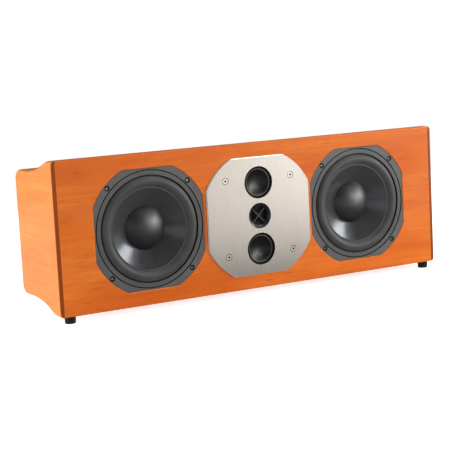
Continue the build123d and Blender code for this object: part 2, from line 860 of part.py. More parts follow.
def midrange(sign, name):
    z = sign * mid_spacing
    plane = section_plane(0, z)
    axis = driver_axis(0, z)

    frame = turned(
        (
            (mid_nose_outer, plate_proud - mid_nose_sink),
            (mid_nose_inner, plate_proud - mid_nose_sink),
            (mid_nose_inner, mid_seat),
            (mid_bore, mid_seat),
            (mid_bore, -mid_frame_depth),
            (mid_frame_radius, -mid_frame_depth),
            (mid_frame_radius, plate_back),
            (mid_nose_outer, plate_back),
        ),
        plane,
        axis,
    )
    save(frame, f"{name}_frame")

    middle = (mid_roll_outer + mid_roll_inner) / 2
    crest = mid_lip_top + mid_roll_height
    lip_end = mid_dome_rim_outer - mid_lip
    with BuildPart() as surround:
        with BuildSketch(plane):
            with BuildLine():
                outer_lip = Line((mid_nose_inner, mid_lip_top), (mid_roll_outer, mid_lip_top))
                roll = ThreePointArc(outer_lip @ 1, (middle, crest), (mid_roll_inner, mid_lip_top))
                Polyline(
                    roll @ 1,
                    (lip_end, mid_lip_top),
                    (lip_end, mid_seat),
                    (mid_dome_rim_outer, mid_seat),
                )
                under = ThreePointArc(
                    (mid_dome_rim_outer, mid_seat),
                    (middle, crest - mid_surround_thickness),
                    (mid_bore, mid_seat),
                )
                Polyline(under @ 1, (mid_nose_inner, mid_seat), outer_lip @ 0)
            make_face()
        revolve(axis=axis)
    save(surround, f"{name}_surround")

    radius = sphere_radius(mid_dome_rim_inner, mid_dome_depth)
    bottom = mid_seat - mid_dome_depth
    with BuildPart() as dome:
        with BuildSketch(plane):
            with BuildLine():
                bowl = RadiusArc((0, bottom), (mid_dome_rim_inner, mid_seat), -radius)
                bead = ThreePointArc(
                    bowl @ 1,
                    ((mid_dome_rim_inner + lip_end) / 2, mid_seat + mid_dome_bead),
                    (lip_end, mid_seat),
                )
                Polyline(
                    bead @ 1,
                    (mid_dome_rim_outer, mid_seat),
                    (mid_dome_rim_outer, mid_seat - mid_dome_thickness),
                    (mid_dome_rim_inner, mid_seat - mid_dome_thickness),
                )
                under = RadiusArc(
                    (mid_dome_rim_inner, mid_seat - mid_dome_thickness),
                    (0, bottom - mid_dome_thickness),
                    radius,
                )
                Line(under @ 1, bowl @ 0)
            make_face()
        revolve(axis=axis)
        rise = radius - (radius**2 - mid_coil_radius**2) ** 0.5
        coil_start = bottom + rise - mid_dome_thickness / 2
        with BuildSketch(front_plane(0, z, coil_start)):
            Circle(mid_coil_radius + mid_coil_wall)
            Circle(mid_coil_radius, mode=Mode.SUBTRACT)
        extrude(amount=-(mid_coil_depth + coil_start))
    save(dome, f"{name}_dome")


midrange(1, "upper_mid")
midrange(-1, "lower_mid")

with BuildPart() as mid_magnets:
    for z in (-mid_spacing, mid_spacing):
        with BuildSketch(front_plane(0, z, mid_cup_floor)):
            Circle(mid_magnet_radius)
        extrude(amount=mid_tip_back - mid_cup_floor)
save(mid_magnets, "mid_magnets")

with BuildPart() as mid_yokes:
    for z in (-mid_spacing, mid_spacing):
        with BuildSketch(front_plane(0, z, -mid_yoke_depth)):
            Circle(mid_yoke_radius)
        extrude(amount=mid_yoke_depth - mid_frame_depth)
        with BuildSketch(front_plane(0, z, mid_cup_floor)):
            Circle(mid_yoke_bore)
        extrude(amount=mid_yoke_front - mid_cup_floor, mode=Mode.SUBTRACT)
        with BuildSketch(front_plane(0, z, mid_tip_back)):
            Circle(mid_tip_radius)
        extrude(amount=mid_tip_thickness)
save(mid_yokes, "mid_yokes")

# Tweeter

tweeter_plane = section_plane(0, 0)
tweeter_axis = driver_axis(0, 0)
tweeter_nose = tweeter_opening_radius - tweeter_nose_clearance
tweeter_front = plate_proud - tweeter_nose_sink
tweeter_seat = -tweeter_seat_depth
tweeter_lip_top = tweeter_seat + tweeter_surround_thickness
tweeter_coil_radius = tweeter_dome_radius - tweeter_dome_thickness
tweeter_yoke_bore = tweeter_dome_radius + tweeter_coil_gap
tweeter_tip_radius = tweeter_coil_radius - tweeter_coil_gap
tweeter_tip_back = -tweeter_tip_depth - tweeter_tip_thickness
tweeter_cup_floor = -tweeter_yoke_depth + tweeter_yoke_floor
guard_radius = throat_radius - guard_clearance

flare_mouth = tweeter_nose - tweeter_rim

with BuildPart() as tweeter_frame:
    with BuildSketch(tweeter_plane):
        with BuildLine():
            rim = Line((tweeter_nose, tweeter_front), (flare_mouth, tweeter_front))
            flare = ThreePointArc(
                rim @ 1,
                ((flare_mouth + throat_radius) / 2, (tweeter_front - throat_depth) / 2 + flare_bulge),
                (throat_radius, -throat_depth),
            )
            Polyline(
                flare @ 1,
                (throat_radius, tweeter_seat),
                (tweeter_bore_radius, tweeter_seat),
                (tweeter_bore_radius, -tweeter_frame_depth),
                (tweeter_frame_radius, -tweeter_frame_depth),
                (tweeter_frame_radius, plate_back),
                (tweeter_nose, plate_back),
                rim @ 0,
            )
        make_face()
    revolve(axis=tweeter_axis)
save(tweeter_frame, "tweeter_frame")

guard_arm_length = guard_radius - guard_clearance

with BuildPart() as tweeter_guard:
    with BuildSketch(front_plane(0, 0, tweeter_lip_top)):
        Circle(guard_radius)
        Circle(guard_radius - guard_rim, mode=Mode.SUBTRACT)
    extrude(amount=guard_ring_height)
    with BuildSketch(front_plane(0, 0, tweeter_lip_top)):
        with PolarLocations(guard_arm_length / 2, 4, 45):
            Rectangle(guard_arm_length, guard_arm_width)
        Circle(guard_radius - guard_rim, mode=Mode.SUBTRACT)
    extrude(amount=-guard_front_depth - tweeter_lip_top)
    with BuildSketch(front_plane(0, 0, -guard_front_depth - guard_thickness)):
        Circle(guard_hub_radius)
        with PolarLocations(guard_arm_length / 2, 4, 45):
            Rectangle(guard_arm_length, guard_arm_width)
    extrude(amount=guard_thickness)
save(tweeter_guard, "tweeter_guard")

with BuildPart() as tweeter_surround:
    middle = (tweeter_roll_outer + tweeter_dome_radius) / 2
    crest = tweeter_lip_top + tweeter_roll_height
    lip_end = tweeter_dome_radius - tweeter_dome_lip
    with BuildSketch(tweeter_plane):
        with BuildLine():
            outer_lip = Line((guard_radius, tweeter_lip_top), (tweeter_roll_outer, tweeter_lip_top))
            roll = ThreePointArc(outer_lip @ 1, (middle, crest), (tweeter_dome_radius, tweeter_lip_top))
            Polyline(
                roll @ 1,
                (lip_end, tweeter_lip_top),
                (lip_end, tweeter_seat),
                (tweeter_dome_radius + tweeter_surround_thickness, tweeter_seat),
            )
            under = ThreePointArc(
                (tweeter_dome_radius + tweeter_surround_thickness, tweeter_seat),
                (middle, crest - tweeter_surround_thickness),
                (tweeter_roll_outer - tweeter_surround_thickness, tweeter_seat),
            )
            Polyline(under @ 1, (guard_radius, tweeter_seat), outer_lip @ 0)
        make_face()
    revolve(axis=tweeter_axis)
save(tweeter_surround, "tweeter_surround")

with BuildPart() as tweeter_dome:
    cap = tweeter_dome_radius - tweeter_dome_lip - guard_clearance
    radius = sphere_radius(cap, tweeter_dome_height)
    under_seat = tweeter_seat - tweeter_dome_thickness
    with BuildSketch(tweeter_plane):
        with BuildLine():
            shell = RadiusArc((0, tweeter_seat + tweeter_dome_height), (cap, tweeter_seat), radius)
            Polyline(
                shell @ 1,
                (tweeter_dome_radius, tweeter_seat),
                (tweeter_dome_radius, tweeter_seat - tweeter_coil_length),
                (tweeter_coil_radius, tweeter_seat - tweeter_coil_length),
                (tweeter_coil_radius, under_seat),
                (cap, under_seat),
            )
            inside = RadiusArc((cap, under_seat), (0, under_seat + tweeter_dome_height), -radius)
            Line(inside @ 1, shell @ 0)
        make_face()
    revolve(axis=tweeter_axis)
save(tweeter_dome, "tweeter_dome")

with BuildPart() as tweeter_magnet:
    with BuildSketch(front_plane(0, 0, tweeter_cup_floor)):
        Circle(tweeter_magnet_radius)
    extrude(amount=tweeter_tip_back - tweeter_cup_floor)
save(tweeter_magnet, "tweeter_magnet")

with BuildPart() as tweeter_yoke:
    with BuildSketch(front_plane(0, 0, -tweeter_yoke_depth)):
        Circle(tweeter_yoke_radius)
    extrude(amount=tweeter_yoke_depth - tweeter_frame_depth)
    with BuildSketch(front_plane(0, 0, tweeter_cup_floor)):
        Circle(tweeter_yoke_bore)
    extrude(amount=-tweeter_frame_depth - tweeter_cup_floor, mode=Mode.SUBTRACT)
    with BuildSketch(front_plane(0, 0, tweeter_tip_back)):
        Circle(tweeter_tip_radius)
    extrude(amount=tweeter_tip_thickness)
save(tweeter_yoke, "tweeter_yoke")

# Terminals

post_places = {"red": -post_spacing / 2, "black": post_spacing / 2}
base_depth = cabinet_depth + terminal_thickness
stud_depth = base_depth + post_base_height
knob_bore = post_radius + knob_clearance

with BuildPart() as terminal_plate:
    with BuildSketch(rear_plane(0, terminal_z, cabinet_depth)):
        RectangleRounded(terminal_width, terminal_height, terminal_corner)
        with GridLocations(post_spacing, 0, 2, 1):
            Circle(post_tail_radius + post_hole_clearance, mode=Mode.SUBTRACT)
        with GridLocations(2 * terminal_screw_x, 2 * terminal_screw_z, 2, 2):
            Circle(pilot_radius, mode=Mode.SUBTRACT)
    extrude(amount=terminal_thickness)
    chamfer(terminal_plate.faces().sort_by(Axis.Y)[-1].outer_wire().edges(), plate_edge)
save(terminal_plate, "terminal_plate")

with BuildPart() as binding_posts:
    for x in post_places.values():
        with BuildSketch(rear_plane(x, terminal_z, base_depth)):
            Circle(post_base_radius)
        extrude(amount=post_base_height)
        with BuildSketch(rear_plane(x, terminal_z, stud_depth)):
            Circle(post_radius)
        extrude(amount=post_length)
        with BuildSketch(rear_plane(x, terminal_z, base_depth - post_tail_length)):
            Circle(post_tail_radius)
        extrude(amount=post_tail_length)
        with BuildSketch(rear_plane(x, terminal_z, stud_depth + post_length)):
            Circle(socket_radius)
        extrude(amount=-socket_depth, mode=Mode.SUBTRACT)
        wire_y = front_y + stud_depth + washer_height
        with BuildSketch(Plane((x, wire_y, terminal_z), z_dir=(0, 0, 1))):
            Circle(wire_hole_radius)
        extrude(amount=post_radius, both=True, mode=Mode.SUBTRACT)
    for x in post_places.values():
        with BuildSketch(rear_plane(x, terminal_z, cabinet_depth - nut_height)):
            RegularPolygon(nut_radius, 6)
            Circle(post_tail_radius + post_hole_clearance, mode=Mode.SUBTRACT)
        extrude(amount=nut_height)
save(binding_posts, "binding_posts")

for colour, x in post_places.items():
    with BuildPart() as clamp_washer:
        with BuildSketch(rear_plane(x, terminal_z, stud_depth)):
            Circle(washer_radius)
            Circle(knob_bore, mode=Mode.SUBTRACT)
        extrude(amount=washer_height)
    save(clamp_washer, f"{colour}_clamp_washer")

    with BuildPart() as post_knob:
        with BuildSketch(rear_plane(x, terminal_z, stud_depth + washer_height)):
            Circle(knob_radius)
            Circle(knob_bore, mode=Mode.SUBTRACT)
            with PolarLocations(knob_radius + flute_radius / 2, knob_flutes):
                Circle(flute_radius, mode=Mode.SUBTRACT)
        extrude(amount=knob_length)
    save(post_knob, f"{colour}_post_knob")

# Crossover and wiring

board_depth = cabinet_depth - back_thickness
parts_depth = board_depth - board_thickness

with BuildPart() as crossover_board:
    with BuildSketch(front_plane(0, board_lift, -board_depth)):
        RectangleRounded(board_width, board_height, terminal_corner)
    extrude(amount=board_thickness)
save(crossover_board, "crossover_board")

with BuildPart() as crossover_coils:
    for x, z in coil_places:
        with BuildSketch(front_plane(x, z, -parts_depth)):
            Circle(coil_outer_radius)
            Circle(coil_inner_radius, mode=Mode.SUBTRACT)
        extrude(amount=coil_height)
save(crossover_coils, "crossover_coils")

with BuildPart() as crossover_capacitors:
    for x, z in capacitor_places:
        with BuildSketch(front_plane(x, z, -parts_depth)):
            Circle(capacitor_radius)
        extrude(amount=capacitor_height)
save(crossover_capacitors, "crossover_capacitors")


def cable_routes():
    """Corner points of each cable: (x, depth behind the baffle front, height over the axis)."""
    block_x = woofer_offset - cup_radius - terminal_block_reach - skirt_wall
    block_depth = motor_depth - basket_floor
    mid_x = (mid_frame_radius + mid_yoke_radius) / 2
    tweeter_x = -(tweeter_frame_radius + tweeter_yoke_radius) / 2
    tail_depth = base_depth - post_tail_length
    loop_depth = tail_depth - 3 * cable_bend
    routes = []
    for side in (-1, 1):
        routes.append(
            (
                (side * woofer_cable_x, parts_depth, woofer_cable_z),
                (side * woofer_cable_x, block_depth, woofer_cable_z),
                (side * block_x, block_depth, woofer_cable_z),
            )
        )
    routes.append(((mid_x, parts_depth, mid_spacing), (mid_x, mid_frame_depth, mid_spacing)))
    routes.append(
        (
            (mid_x, parts_depth, 2 * cable_radius),
            (mid_x, loop_depth, 2 * cable_radius),
            (mid_x, loop_depth, -mid_spacing),
            (mid_x, mid_frame_depth, -mid_spacing),
        )
    )
    routes.append(((tweeter_x, parts_depth, 0), (tweeter_x, tweeter_frame_depth, 0)))
    for x in post_places.values():
        routes.append(
            (
                (x, tail_depth, -terminal_drop),
                (x, loop_depth, -terminal_drop),
                (x, loop_depth, 2 * cable_bend - cable_radius),
                (x, parts_depth, 2 * cable_bend - cable_radius),
            )
        )
    return routes


with BuildPart() as internal_wiring:
    for route in cable_routes():
        points = [(x, front_y + depth, axis_z + height) for x, depth, height in route]
        with BuildLine() as path:
            if len(points) == 2:
                Line(*points)
            else:
                FilletPolyline(*points, radius=[cable_bend] * (len(points) - 2))
        with BuildSketch(Plane(path.line @ 0, z_dir=path.line % 0)):
            Circle(cable_radius)
        sweep(path=path.line)
save(internal_wiring, "internal_wiring")
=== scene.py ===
import math

import bpy
from mathutils import Matrix, Vector


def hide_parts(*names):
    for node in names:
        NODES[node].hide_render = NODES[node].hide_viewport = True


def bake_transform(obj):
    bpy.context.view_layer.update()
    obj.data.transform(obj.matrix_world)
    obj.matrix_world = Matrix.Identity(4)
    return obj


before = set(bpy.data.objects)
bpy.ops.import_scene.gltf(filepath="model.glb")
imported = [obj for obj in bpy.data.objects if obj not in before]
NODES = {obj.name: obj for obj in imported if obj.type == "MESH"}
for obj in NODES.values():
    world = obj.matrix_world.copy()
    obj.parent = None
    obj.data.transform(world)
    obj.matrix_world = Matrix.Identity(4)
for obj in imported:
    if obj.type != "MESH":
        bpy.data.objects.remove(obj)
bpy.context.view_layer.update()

# Places and radii of the CAD source, in metres
FRONT_Y = -0.09825
AXIS_Z = 0.145
WOOFER_X = 0.2203
MID_SPACING = 0.0607
MID_RIM_RADIUS = 0.0234
PLATE_SCREW = 0.0686
PLATE_SINK_RADIUS = 0.0064

# Radii in mm at which a soft sheet leaves the cabinet and meets its diaphragm
WOOFER_ROLL_EDGES = (92.6, 74.5)
WOOFER_SPIDER_EDGES = (62.0, 29.6)
MID_ROLL_EDGES = (27.7, 25.25)
TWEETER_ROLL_EDGES = (15.4, 12.9)

# Widths in metres over which painted shade sets in (PAINT_STEP), and over which one finish gives way to
# the next (RIM_STEP)
PAINT_STEP = 0.0003
RIM_STEP = 0.0002

# Cosine between the rounded and the true normal, on a face and along a sharp edge
FACE_COSINE = 0.99
EDGE_COSINE = 0.85

# Corners of a soft sheet that are steeper than this stay sharp
SHARP_ANGLE = math.radians(50)

# The sockets of a Mix node that count when it mixes colours
MIX_FACTOR = 0
MIX_FIRST = 6
MIX_SECOND = 7
MIX_RESULT = 2

# The camera that was fitted to the photograph: its place in metres, its axes and its lens
CAMERA_PLACE = (-1.24012, -2.15120, 0.45101)
CAMERA_RIGHT = (0.86454, -0.49987, -0.05194)
CAMERA_UP = (0.11093, 0.08902, 0.98983)
CAMERA_BACKWARD = (-0.49017, -0.86151, 0.13241)
CAMERA_LENS_MM = 106.44
CAMERA_SENSOR_MM = 36.0

# The studio: where most lamps aim, how high a card lies on the floor, how much its grey varies
LAMP_AIM = (0.0, -0.1, 0.14)
CARD_LIFT = 0.001
CARD_SPECKLE = 8


def tone(red, green, blue):
    """Linear colour from the 0 to 255 values of a screen colour."""
    def linear(value):
        value /= 255
        return value / 12.92 if value <= 0.04045 else ((value + 0.055) / 1.055) ** 2.4
    return (linear(red), linear(green), linear(blue), 1.0)


def grey(level):
    return tone(level, level, level)


WHITE = (1.0, 1.0, 1.0, 1.0)
CHERRY_FIGURE = tone(190, 78, 14)
CHERRY_FIBRE = tone(170, 66, 12)
CHERRY_FLECK = tone(128, 46, 9)
CHERRY_BAND = (tone(128, 52, 7), tone(148, 64, 11))
# Pale tone painted along the cherry's edges as the highlight of its lacquer
CHERRY_EDGE_HIGHLIGHT = tone(240, 160, 80)
# Painted shade for the gap between a woofer's roll and its trim ring
GAP_SHADE_BLACK = grey(7)
# Painted shade for the grooves and counterbores of the woofer castings
RECESS_SHADE_BLACK = grey(9)
# Painted highlight for the edges of the face plate
PLATE_EDGE_HIGHLIGHT = tone(244, 241, 236)
PLATE_WALL = tone(206, 202, 196)
# Painted shade for the countersinks of the plate screws
PLATE_SINK_SHADE = tone(34, 31, 28)


class Look:
    """A procedural material: one Principled shader and the nodes that feed it."""

    def __init__(self, name, **constants):
        self.material = bpy.data.materials.new(name)
        self.material.use_nodes = True
        self.tree = self.material.node_tree
        self.shader = self.tree.nodes["Principled BSDF"]
        self.place = self.node("ShaderNodeTexCoord").outputs["Object"]
        for socket, value in constants.items():
            self.shader.inputs[socket.replace("_", " ")].default_value = value

    def node(self, kind, **settings):
        node = self.tree.nodes.new(kind)
        for setting, value in settings.items():
            setattr(node, setting, value)
        return node

    def feed(self, socket, value):
        if isinstance(value, bpy.types.NodeSocket):
            self.tree.links.new(value, socket)
        else:
            socket.default_value = value

    def math(self, operation, first, second=0.0):
        node = self.node("ShaderNodeMath", operation=operation)
        self.feed(node.inputs[0], first)
        self.feed(node.inputs[1], second)
        return node.outputs[0]

    def axes(self, vector):
        """The sockets X, Y and Z of a vector."""
        node = self.node("ShaderNodeSeparateXYZ")
        self.feed(node.inputs[0], vector)
        return node.outputs

    def noise(self, sizes_mm, detail=2.0, roughness=0.5, distortion=0.0):
        """Noise whose features have these sizes along X, Y and Z."""
        scaled = self.node("ShaderNodeMapping")
        self.feed(scaled.inputs["Vector"], self.place)
        scaled.inputs["Scale"].default_value = [1000 / size for size in sizes_mm]
        node = self.node("ShaderNodeTexNoise")
        self.feed(node.inputs["Vector"], scaled.outputs["Vector"])
        node.inputs["Scale"].default_value = 1.0
        node.inputs["Detail"].default_value = detail
        node.inputs["Roughness"].default_value = roughness
        node.inputs["Distortion"].default_value = distortion
        return node.outputs["Fac"]

    def span(self, value, low, high, to_low=0.0, to_high=1.0):
        """The value between low and high, carried over to another range."""
        node = self.node("ShaderNodeMapRange")
        self.feed(node.inputs["Value"], value)
        node.inputs["From Min"].default_value = low
        node.inputs["From Max"].default_value = high
        node.inputs["To Min"].default_value = to_low
        node.inputs["To Max"].default_value = to_high
        return node.outputs["Result"]

    def level(self, noise, to_low=0.0, to_high=1.0):
        """A noise, carried over from the range where it mostly lies."""
        return self.span(noise, 0.3, 0.7, to_low, to_high)

    def mix(self, factor, first, second):
        node = self.node("ShaderNodeMix", data_type="RGBA")
        self.feed(node.inputs[MIX_FACTOR], factor)
        self.feed(node.inputs[MIX_FIRST], first)
        self.feed(node.inputs[MIX_SECOND], second)
        return node.outputs[MIX_RESULT]

    def facing(self, axis, low=0.3, high=0.6):
        """1 on the faces that look along an axis, either way, and 0 on the walls beside them."""
        normal = self.node("ShaderNodeNewGeometry").outputs["Normal"]
        return self.span(self.math("ABSOLUTE", self.axes(normal)[axis]), low, high)

    def behind(self, height_mm):
        """1 on what lies behind a height, counted forward in mm from the face of the baffle."""
        start = FRONT_Y - height_mm / 1000
        return self.span(self.axes(self.place)["Y"], start, start + PAINT_STEP)

    def radius(self, centre_x, centre_z):
        """Distance in metres from an axis along Y, at centre_x to either side of the middle."""
        axes = self.axes(self.place)
        across = self.math("SUBTRACT", self.math("ABSOLUTE", axes["X"]), centre_x)
        upward = self.math("SUBTRACT", axes["Z"], centre_z)
        square = self.math("ADD", self.math("POWER", across, 2.0), self.math("POWER", upward, 2.0))
        return self.math("SQRT", square)

    def nearest_radius(self, centre_x, rise):
        """Distance from the nearer of two such axes, one above the tweeter's and one below it."""
        upper = self.radius(centre_x, AXIS_Z + rise)
        lower = self.radius(centre_x, AXIS_Z - rise)
        return self.math("MINIMUM", upper, lower)

    def edge_wear_and_highlight(self, colour, width_mm, share, edge_colour):
        """The colour, changed to another one along the sharp edges of the piece, as wear and as a painted
        highlight.
        """
        bevel = self.node("ShaderNodeBevel", samples=4)
        bevel.inputs["Radius"].default_value = width_mm / 1000
        cosine = self.node("ShaderNodeVectorMath", operation="DOT_PRODUCT")
        self.feed(cosine.inputs[0], bevel.outputs["Normal"])
        self.feed(cosine.inputs[1], self.node("ShaderNodeNewGeometry").outputs["True Normal"])
        edges = self.span(cosine.outputs["Value"], FACE_COSINE, EDGE_COSINE)
        return self.mix(self.math("MULTIPLY", edges, share), colour, edge_colour)

    def colour(self, value):
        self.feed(self.shader.inputs["Base Color"], value)

    def metallic(self, value):
        self.feed(self.shader.inputs["Metallic"], value)

    def roughness(self, value):
        self.feed(self.shader.inputs["Roughness"], value)

    def bump(self, height, depth_mm, strength):
        node = self.node("ShaderNodeBump")
        node.inputs["Strength"].default_value = strength
        node.inputs["Distance"].default_value = depth_mm / 1000
        self.feed(node.inputs["Height"], height)
        self.feed(self.shader.inputs["Normal"], node.outputs["Normal"])


def along(axis, length, width):
    """Sizes in mm of a feature that lies along one axis."""
    sizes = [width] * 3
    sizes["XYZ".index(axis)] = length
    return sizes


def even(size):
    """Sizes in mm of a feature that is the same along all axes."""
    return [size] * 3


def veneer(name, grain, warm, pale, contrast, flecks, end_grain=None):
    """Lacquered cherry veneer with its grain along one axis.

    A panel with end_grain shows its edge band, with upright grain, where it faces along that axis.
    """
    look = Look(name, Specular_IOR_Level=0.12, Coat_Weight=0.18, Coat_Roughness=0.08)
    cloud = look.noise(along(grain, 260, 60), detail=3, distortion=0.6)
    figure = look.noise(along(grain, 130, 9), detail=5, roughness=0.6, distortion=0.8)
    fibre = look.noise(along(grain, 14, 0.7), detail=3, roughness=0.65)
    colour = look.mix(look.level(cloud), warm, pale)
    colour = look.mix(look.span(figure, 0.42, 0.72, 0, contrast), colour, CHERRY_FIGURE)
    colour = look.mix(look.span(fibre, 0.5, 0.8, 0, 0.35), colour, CHERRY_FIBRE)
    dash = look.noise(along(grain, 34, 0.9), detail=1.5, roughness=0.4)
    patch = look.noise(along(grain, 80, 40), detail=1)
    fleck = look.math("MULTIPLY", look.span(dash, 0.63, 0.72), look.span(patch, 0.51, 0.62, 0, flecks))
    colour = look.mix(fleck, colour, CHERRY_FLECK)
    if end_grain:
        upright = look.noise(along("Z", 60, 1.6), detail=4, roughness=0.6)
        colour = look.mix(look.facing(end_grain, 0.25, 0.7), colour, look.mix(upright, *CHERRY_BAND))
    # Painted highlight: the edges of the veneer are lightened, where lacquer would catch the light
    look.colour(look.edge_wear_and_highlight(colour, 1.2, 0.4, CHERRY_EDGE_HIGHLIGHT))
    look.roughness(look.span(fibre, 0.2, 0.8, 0.30, 0.42))
    look.bump(look.math("SUBTRACT", fibre, fleck), 0.05, 0.35)
    return look.material


def fibreboard():
    look = Look("fibreboard", Specular_IOR_Level=0.2)
    chips = look.noise(even(2.5), detail=5, roughness=0.7)
    look.colour(look.mix(chips, tone(126, 92, 58), tone(178, 142, 100)))
    look.roughness(look.level(chips, 0.75, 0.95))
    look.bump(chips, 0.3, 0.5)
    return look.material


def rubber(name, dark, light, grain_mm=0.6, lip_radius=None, **constants):
    """Matt rubber, its edges lightened as wear and as a painted highlight. Outside lip_radius, round the
    axis of a woofer, it is painted black as the shade in the gap by the trim ring.
    """
    look = Look(name, **constants)
    grain = look.noise(even(grain_mm), detail=3, roughness=0.6)
    bloom = look.noise(even(30), detail=3)
    shade = look.mix(look.span(bloom, 0.35, 0.7), dark, light)
    shade = look.edge_wear_and_highlight(shade, 0.6, 0.3, light)
    # Painted shade: the lip in the gap under the trim ring is made black
    if lip_radius:
        lip = look.span(look.radius(WOOFER_X, AXIS_Z), lip_radius - PAINT_STEP, lip_radius)
        shade = look.mix(lip, shade, GAP_SHADE_BLACK)
    look.colour(shade)
    look.roughness(look.level(bloom, 0.42, 0.54))
    look.bump(grain, 0.03, 0.5)
    return look.material


def cast_metal(
    name, dark, light, edge, roughness=(0.38, 0.5), grain_mm=0.45, shade_behind=None, shade_walls=False
):
    """Painted casting: a fine powder texture that rubs bright along its edges, as wear and as a painted
    highlight.

    Behind a given height, and on the walls beside its faces if asked, the casting is painted black as
    shade.
    """
    look = Look(name, Specular_IOR_Level=0.3)
    grain = look.noise(even(grain_mm), detail=2, roughness=0.6)
    cloud = look.noise(even(45), detail=3)
    shade = look.mix(look.level(cloud), dark, light)
    shade = look.edge_wear_and_highlight(shade, 0.5, 0.6, edge)
    # Painted shade: black behind the face, in the grooves and counterbores
    if shade_behind is not None:
        shade = look.mix(look.behind(shade_behind), shade, RECESS_SHADE_BLACK)
    # Painted shade: black on the walls of the grooves
    if shade_walls:
        shade = look.mix(look.facing("Y"), RECESS_SHADE_BLACK, shade)
    look.colour(shade)
    look.roughness(look.level(grain, *roughness))
    look.bump(grain, 0.04, 0.6)
    return look.material


def moulded(name, dark, light, roughness=(0.25, 0.35), grain_mm=0.5, **constants):
    """Moulded plastic or smooth paint, with a fine grain and faint clouds."""
    look = Look(name, **constants)
    grain = look.noise(even(grain_mm), detail=2)
    cloud = look.noise(even(18), detail=3)
    look.colour(look.mix(look.level(cloud), dark, light))
    look.roughness(look.level(cloud, *roughness))
    look.bump(grain, 0.02, 0.5)
    return look.material


def bare_metal(name, dark, light, roughness=(0.22, 0.36), socket=None):
    """Metal with fine scratches in all directions, its edges lightened as wear and as a painted
    highlight.

    A screw's socket is given as the height behind which it lies, and the colour painted into it: a
    painted shade where dark, a painted highlight where pale.
    """
    look = Look(name, Metallic=1.0)
    scratch = look.noise(even(2), detail=4, roughness=0.7)
    cloud = look.noise(even(25), detail=3)
    shade = look.mix(look.math("MULTIPLY", look.math("ADD", scratch, cloud), 0.5), dark, light)
    shade = look.edge_wear_and_highlight(shade, 0.4, 0.5, light)
    # The socket is painted, dark as shade or pale as a highlight, in the given colour
    if socket:
        height_mm, socket_shade_or_glint = socket
        shade = look.mix(look.behind(height_mm), shade, socket_shade_or_glint)
    look.colour(shade)
    look.roughness(look.span(scratch, 0.25, 0.75, *roughness))
    look.bump(scratch, 0.015, 0.4)
    return look.material


def cone_plastic(ring_turn=5200.0):
    """Smooth injected cone with a satin sheen. Its rings of flow turn this far per metre."""
    look = Look("cone_plastic", Specular_IOR_Level=0.58, Specular_Tint=(0.86, 0.9, 1.0, 1.0))
    ring = look.math("SINE", look.math("MULTIPLY", look.radius(WOOFER_X, AXIS_Z), ring_turn))
    cloud = look.noise(even(22), detail=3)
    look.colour(look.mix(look.level(cloud), tone(48, 49, 49), tone(53, 54, 54)))
    look.roughness(look.level(cloud, 0.18, 0.24))
    look.bump(ring, 0.01, 0.12)
    return look.material


def brushed_plate():
    """Aluminium brushed from top to bottom, with pale milled walls, a painted highlight along its edges
    and painted shade in the screw sinks.
    """
    look = Look("brushed_plate")
    line = look.noise(along("Z", 60, 0.35), detail=4, roughness=0.7)
    broad = look.noise(along("Z", 140, 3.5), detail=3)
    shade = look.mix(look.span(line, 0.25, 0.75), tone(166, 159, 151), tone(182, 175, 167))
    shade = look.mix(look.span(broad, 0.35, 0.7, 0, 0.3), shade, tone(180, 173, 165))
    # Painted highlight: the plate's edges are lightened
    shade = look.edge_wear_and_highlight(shade, 0.9, 0.85, PLATE_EDGE_HIGHLIGHT)
    face = look.facing("Y")
    look.metallic(face)
    shade = look.mix(face, PLATE_WALL, shade)
    # Painted shade: the countersinks round the plate screws are made dark
    screw = look.nearest_radius(PLATE_SCREW, PLATE_SCREW)
    sink_shade = look.span(screw, PLATE_SINK_RADIUS + PAINT_STEP, PLATE_SINK_RADIUS)
    look.colour(look.mix(sink_shade, shade, PLATE_SINK_SHADE))
    look.roughness(look.span(line, 0.25, 0.75, 0.26, 0.32))
    look.bump(line, 0.008, 0.4)
    return look.material


def mid_dome():
    """Inverted dome: a dark glossy bowl inside a bright metal rim."""
    look = Look("mid_dome", Specular_IOR_Level=0.36)
    radius = look.nearest_radius(0.0, MID_SPACING)
    cloud = look.noise(even(6), detail=3)
    bowl = look.mix(cloud, tone(2, 2, 2), tone(5, 5, 6))
    rim = look.mix(cloud, tone(84, 74, 62), tone(112, 101, 88))
    outside = look.span(radius, MID_RIM_RADIUS - RIM_STEP, MID_RIM_RADIUS + RIM_STEP)
    look.colour(look.mix(outside, bowl, rim))
    look.metallic(look.span(radius, MID_RIM_RADIUS, MID_RIM_RADIUS + RIM_STEP))
    look.roughness(look.level(cloud, 0.36, 0.4))
    look.bump(cloud, 0.01, 0.1)
    return look.material


def woven(name, dark, light, pitch_mm):
    """Coated cloth: threads crossing at the pitch, under a thin varnish."""
    look = Look(name, Specular_IOR_Level=0.15, Sheen_Weight=0.05)
    axes = look.axes(look.place)
    turn = 2000 * math.pi / pitch_mm
    warp = look.math("SINE", look.math("MULTIPLY", axes["X"], turn))
    weft = look.math("SINE", look.math("MULTIPLY", axes["Z"], turn))
    thread = look.span(look.math("MULTIPLY", warp, weft), -1, 1)
    look.colour(look.mix(thread, dark, light))
    look.roughness(look.span(thread, 0, 1, 0.6, 0.8))
    look.bump(thread, pitch_mm / 8, 0.5)
    return look.material


